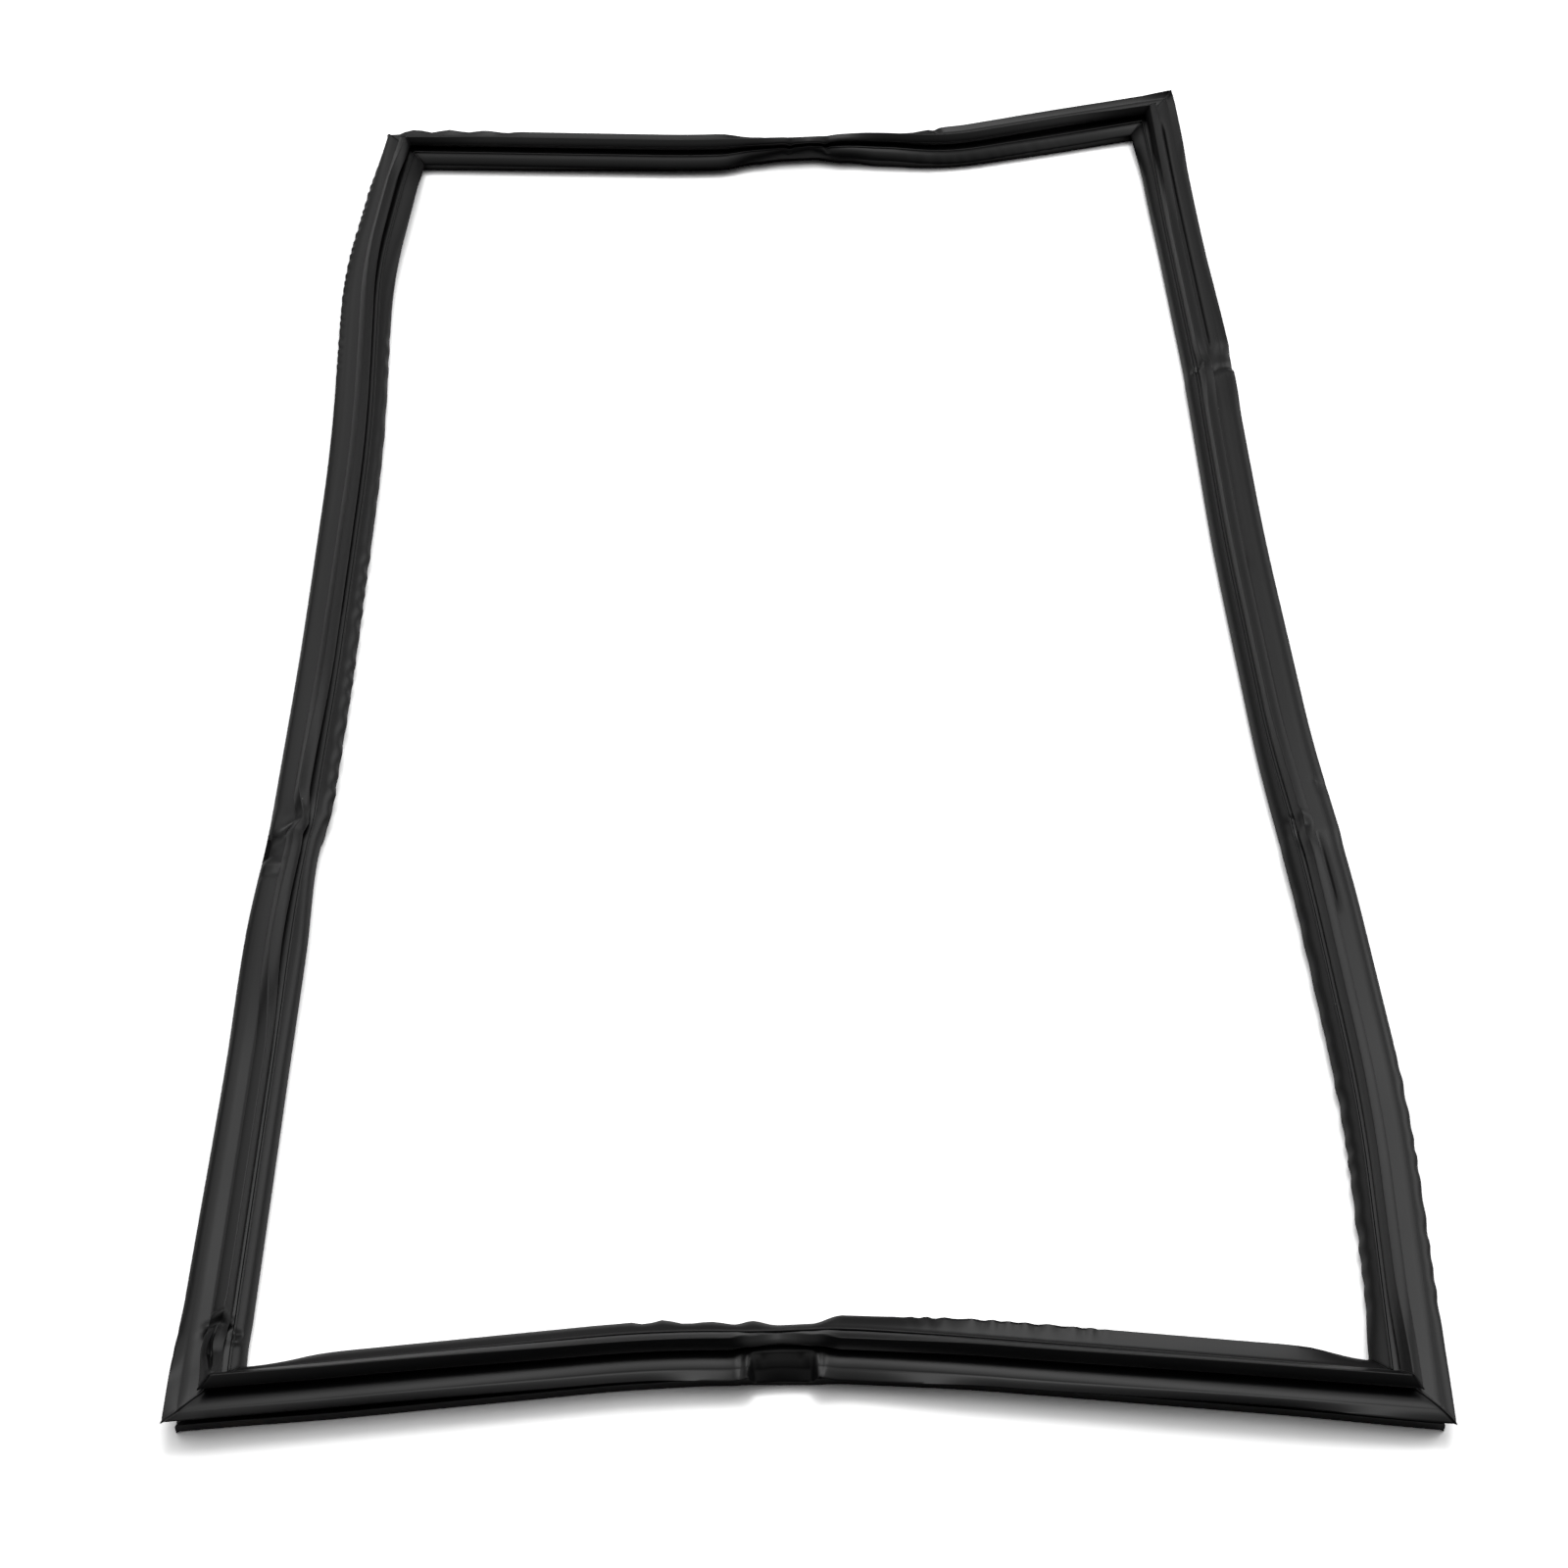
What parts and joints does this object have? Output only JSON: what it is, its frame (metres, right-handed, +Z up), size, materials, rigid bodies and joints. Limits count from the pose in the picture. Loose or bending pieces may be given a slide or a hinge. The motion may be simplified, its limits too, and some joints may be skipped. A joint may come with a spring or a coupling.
{
  "type": "refrigerator door gasket",
  "caption": "Soft black frame seal for a refrigerator door, with an arrow dart, thin side lips and a magnet pocket, welded at mitred corners.",
  "frame": {"origin": "middle of the gasket seen from above, on the sealing face that it lies on", "axes": "+Z up, from the sealing face towards the dart; +Y along the long rails, away from the viewer; +X to the right along the near side"},
  "size_m": [0.5936, 1.1366, 0.02],
  "materials": {
    "soft_black_pvc": "extruded soft PVC, near black, satin, with fine lines along its length",
    "bonded_ferrite": "flexible bonded ferrite strip, dark brown grey, matte"
  },
  "bodies": {
    "root": {"gasket": "soft_black_pvc", "magnet_strip_near": "bonded_ferrite", "magnet_strip_right": "bonded_ferrite", "magnet_strip_far": "bonded_ferrite", "magnet_strip_left": "bonded_ferrite"}
  },
  "joints": []
}
